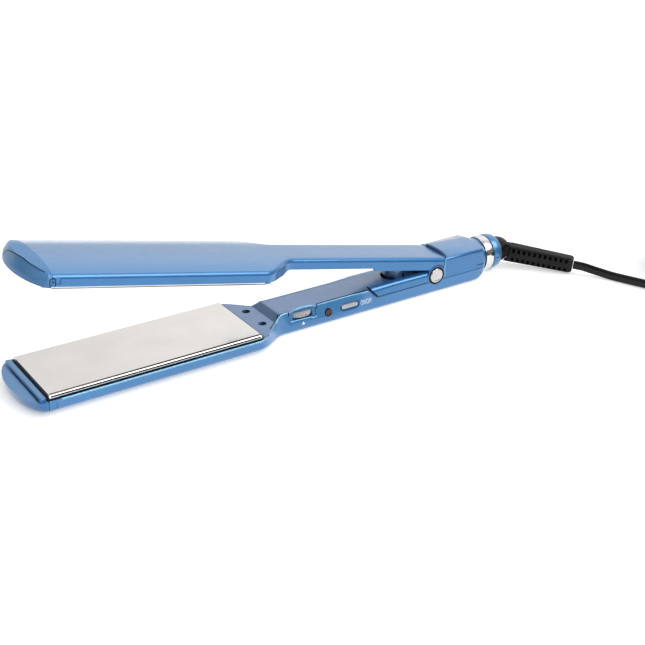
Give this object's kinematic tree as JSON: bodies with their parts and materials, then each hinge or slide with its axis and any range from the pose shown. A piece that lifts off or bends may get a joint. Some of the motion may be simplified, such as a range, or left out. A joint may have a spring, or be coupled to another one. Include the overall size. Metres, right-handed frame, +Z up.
{
  "type": "flat iron",
  "caption": "Wide-plate hair straightener held open, with hinged arms, thumbwheel, power button, swivel cord end and a tied mains cord with its plug.",
  "frame": {"origin": "middle of the iron's length and width, on the plane that its lower arm lies on; the cord isn't counted", "axes": "+X from the nose to the cord end, +Y away from the side with the controls, +Z up"},
  "size_m": [0.4962, 0.1695, 0.0821],
  "materials": {
    "satin_blue_paint": "moulded plastic with satin metallic blue paint",
    "cover_blue_paint": "satin metallic blue paint, greyer",
    "polished_plate": "mirror-polished plated aluminium",
    "chrome": "bright chrome",
    "spring_steel": "drawn steel",
    "black_moulding": "black moulding",
    "black_rubber": "soft black",
    "white_ceramic": "fired ceramic, unglazed",
    "mica_pad": "pressed mica",
    "board_green": "coated board",
    "red_lens": "clear red moulding",
    "brass": "bare brass"
  },
  "bodies": {
    "base_arm": {"chrome_collar": "chrome", "circuit_board": "board_green", "cover_screw_far": "chrome", "cover_screw_near": "chrome", "dial_potentiometer": "black_moulding", "end_ring": "satin_blue_paint", "handle_cover": "cover_blue_paint", "hinge_pin": "spring_steel", "indicator_lens": "red_lens", "lower_heating_element": "white_ceramic", "lower_housing": "satin_blue_paint", "lower_insulation_pad": "mica_pad", "lower_nose_cap": "satin_blue_paint", "lower_plate": "polished_plate", "lower_plate_tray": "black_moulding", "opening_spring": "spring_steel", "pivot_screw_far": "chrome", "pivot_screw_near": "chrome", "push_switch": "black_moulding", "rear_cover": "satin_blue_paint", "swivel_contacts": "brass", "thermal_fuse": "chrome"},
    "upper_arm": {"upper_housing": "satin_blue_paint", "upper_inner_cover": "cover_blue_paint", "upper_plate": "polished_plate", "upper_nose_cap": "satin_blue_paint", "upper_plate_tray": "black_moulding", "upper_heating_element": "white_ceramic", "upper_insulation_pad": "mica_pad", "upper_screw_near": "chrome", "upper_screw_far": "chrome"},
    "dial": {"temperature_dial": "black_moulding"},
    "button": {"power_button": "satin_blue_paint"},
    "swivel": {"swivel_dome": "black_moulding", "contact_pin": "brass", "tilt_pin": "chrome"},
    "cord_end": {"strain_relief": "black_rubber", "cord_lead": "black_rubber", "cord_coil": "black_rubber", "cord_tie": "black_moulding", "plug_body": "black_rubber", "plug_blade_narrow": "brass", "plug_blade_wide": "brass"}
  },
  "joints": [
    {"name": "arm_hinge", "type": "hinge", "parent": "base_arm", "child": "upper_arm", "pos_m": [0.10086, 0, 0.012], "axis": [0, 1, 0], "range_deg": [-12.7, 0], "stiffness_Nm_per_rad": 2, "springref_deg": 17.19, "deforming": ["opening_spring"]},
    {"name": "dial_turn", "type": "hinge", "parent": "base_arm", "child": "dial", "pos_m": [0.00526, -0.003, 0.0095], "axis": [0, 0, 1], "range_deg": [-135, 135]},
    {"name": "button_press", "type": "slide", "parent": "base_arm", "child": "button", "axis": [0, 1, 0], "range_m": [0, 0.0008], "stiffness_N_per_m": 500, "springref_m": -0.001},
    {"name": "cord_swivel", "type": "hinge", "parent": "base_arm", "child": "swivel", "pos_m": [0.16317, 0, 0.0114], "axis": [1, 0, 0], "continuous": true},
    {"name": "cord_tilt", "type": "hinge", "parent": "swivel", "child": "cord_end", "pos_m": [0.16317, 0, 0.0114], "axis": [0, -0.108, 0.9942], "range_deg": [-15, 115]}
  ]
}
